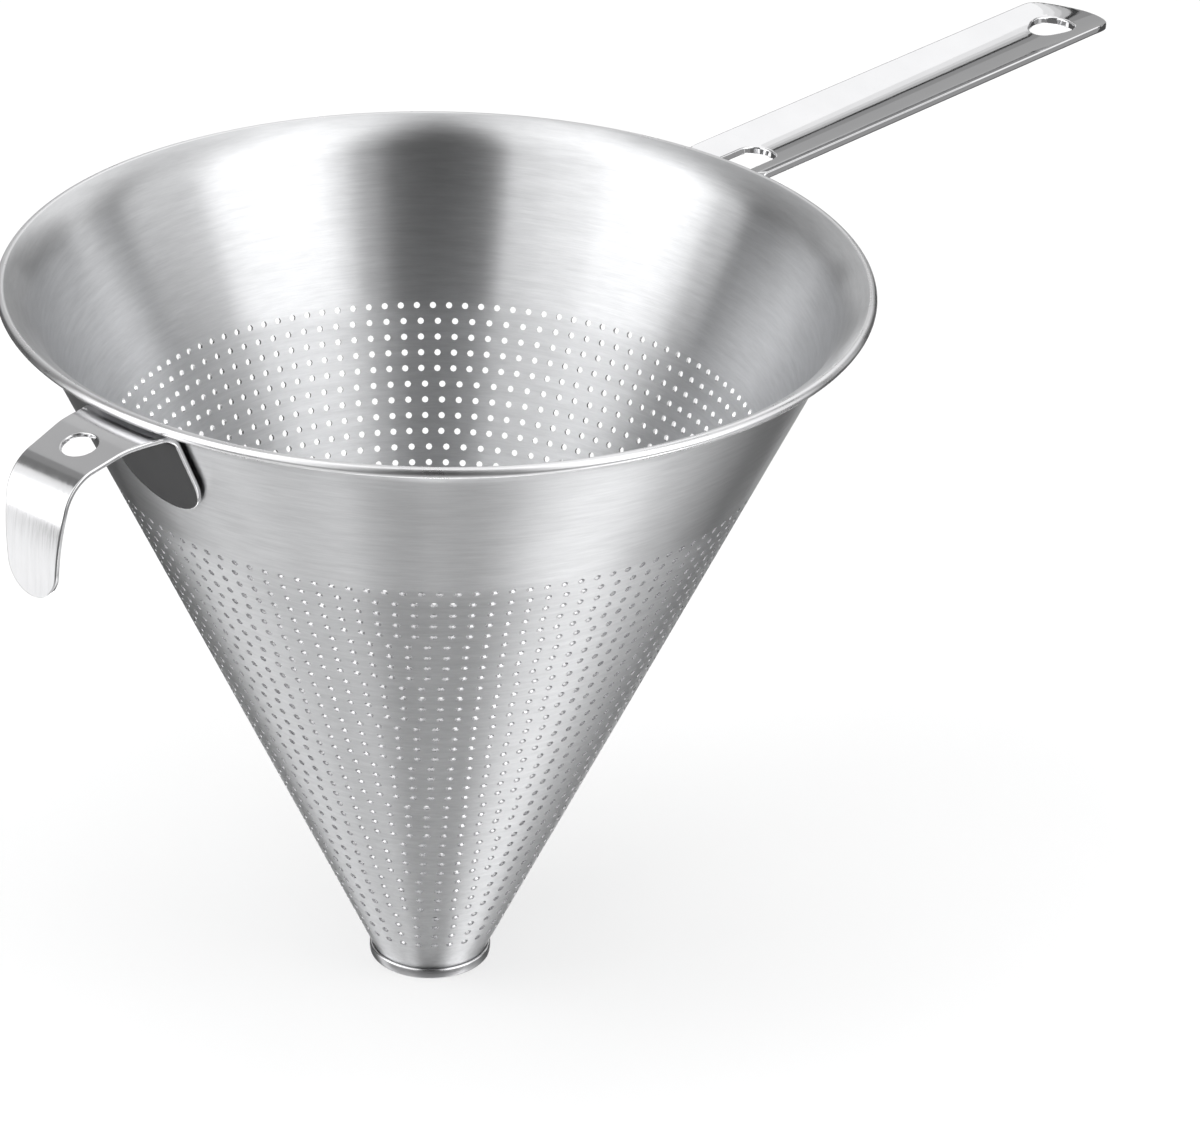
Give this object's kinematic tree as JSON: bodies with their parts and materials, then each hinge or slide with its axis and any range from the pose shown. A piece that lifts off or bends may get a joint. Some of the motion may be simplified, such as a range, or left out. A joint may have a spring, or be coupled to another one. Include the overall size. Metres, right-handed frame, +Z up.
{
  "type": "chinois strainer",
  "caption": "Conical perforated steel strainer with a rolled rim, capped base, dished slotted handle with a hanging hole and a rest hook opposite.",
  "frame": {"origin": "centre of the circle of the rolled rim, which is where the strainer sits in a pot's mouth", "axes": "+Z up out of the mouth, +X from the cone along the handle, rest hook on the -X side"},
  "size_m": [0.375, 0.2, 0.1797],
  "materials": {
    "cone_steel": "circumferentially brushed, with a bright polished rim",
    "base_steel": "satin",
    "handle_steel": "mirror polished stainless steel",
    "hook_steel": "satin to bright",
    "weld_steel": "hidden spot welds"
  },
  "bodies": {
    "root": {"strainer_cone": "cone_steel", "base_cap": "base_steel", "handle": "handle_steel", "rest_hook": "hook_steel", "handle_spot_welds": "weld_steel", "hook_spot_welds": "weld_steel"}
  },
  "joints": []
}
